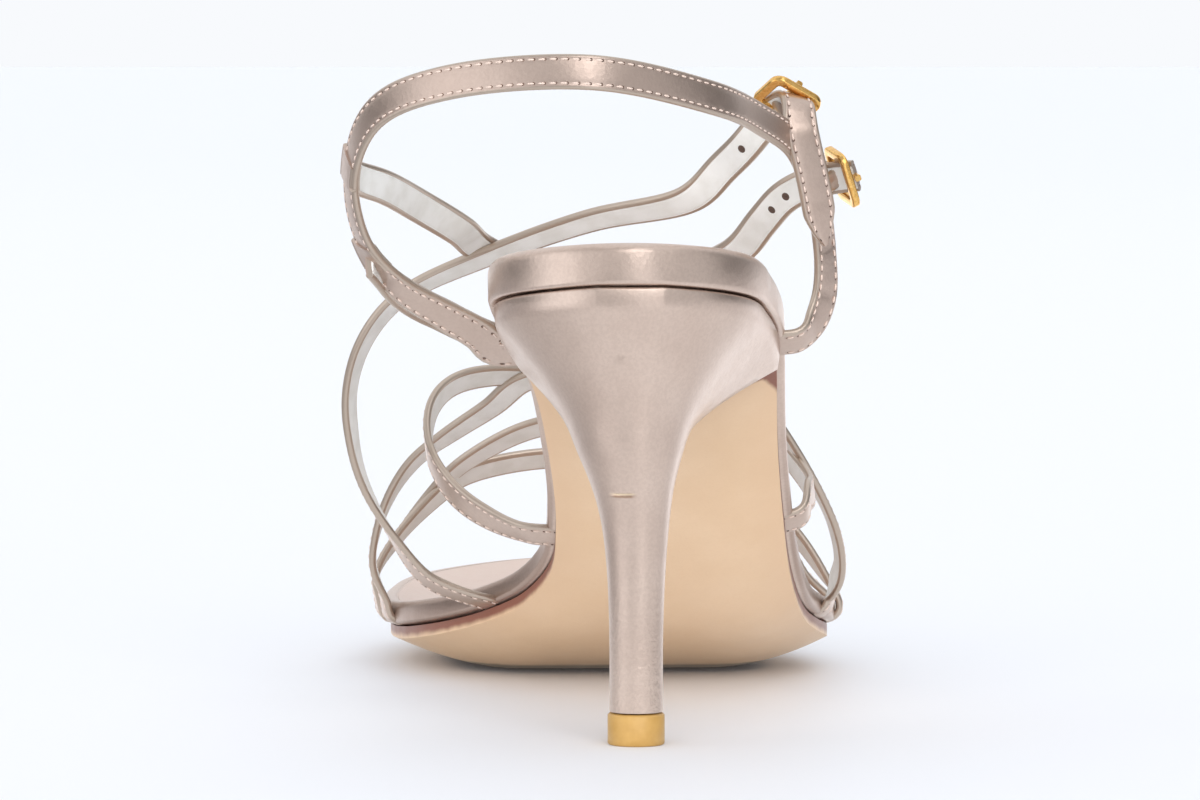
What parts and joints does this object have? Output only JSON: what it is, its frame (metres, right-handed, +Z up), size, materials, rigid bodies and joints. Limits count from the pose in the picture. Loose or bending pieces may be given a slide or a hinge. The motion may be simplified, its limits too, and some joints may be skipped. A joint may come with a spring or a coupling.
{
  "type": "strappy high-heeled sandal",
  "caption": "Leather sandal for a right foot: narrow crossing straps with buckles at the ankle, a wrapped insole, a thin leather outsole and a slim covered heel with a tip.",
  "frame": {"origin": "on the floor under the middle of the shoe's footprint box", "axes": "+X to the lateral side of the right foot, +Y from heel to toe, +Z up"},
  "size_m": [0.0988, 0.2294, 0.1181],
  "materials": {
    "metallic_leather": "metallic foil",
    "sole_leather": "smooth natural",
    "tip_rubber": "satin",
    "buckle_brass": "polished"
  },
  "bodies": {
    "root": {"insole": "metallic_leather", "upper": "metallic_leather", "heel": "metallic_leather", "outsole": "sole_leather", "heel_tip": "tip_rubber", "upper_buckle": "buckle_brass", "lower_buckle": "buckle_brass", "upper_prong": "buckle_brass", "lower_prong": "buckle_brass"}
  },
  "joints": []
}
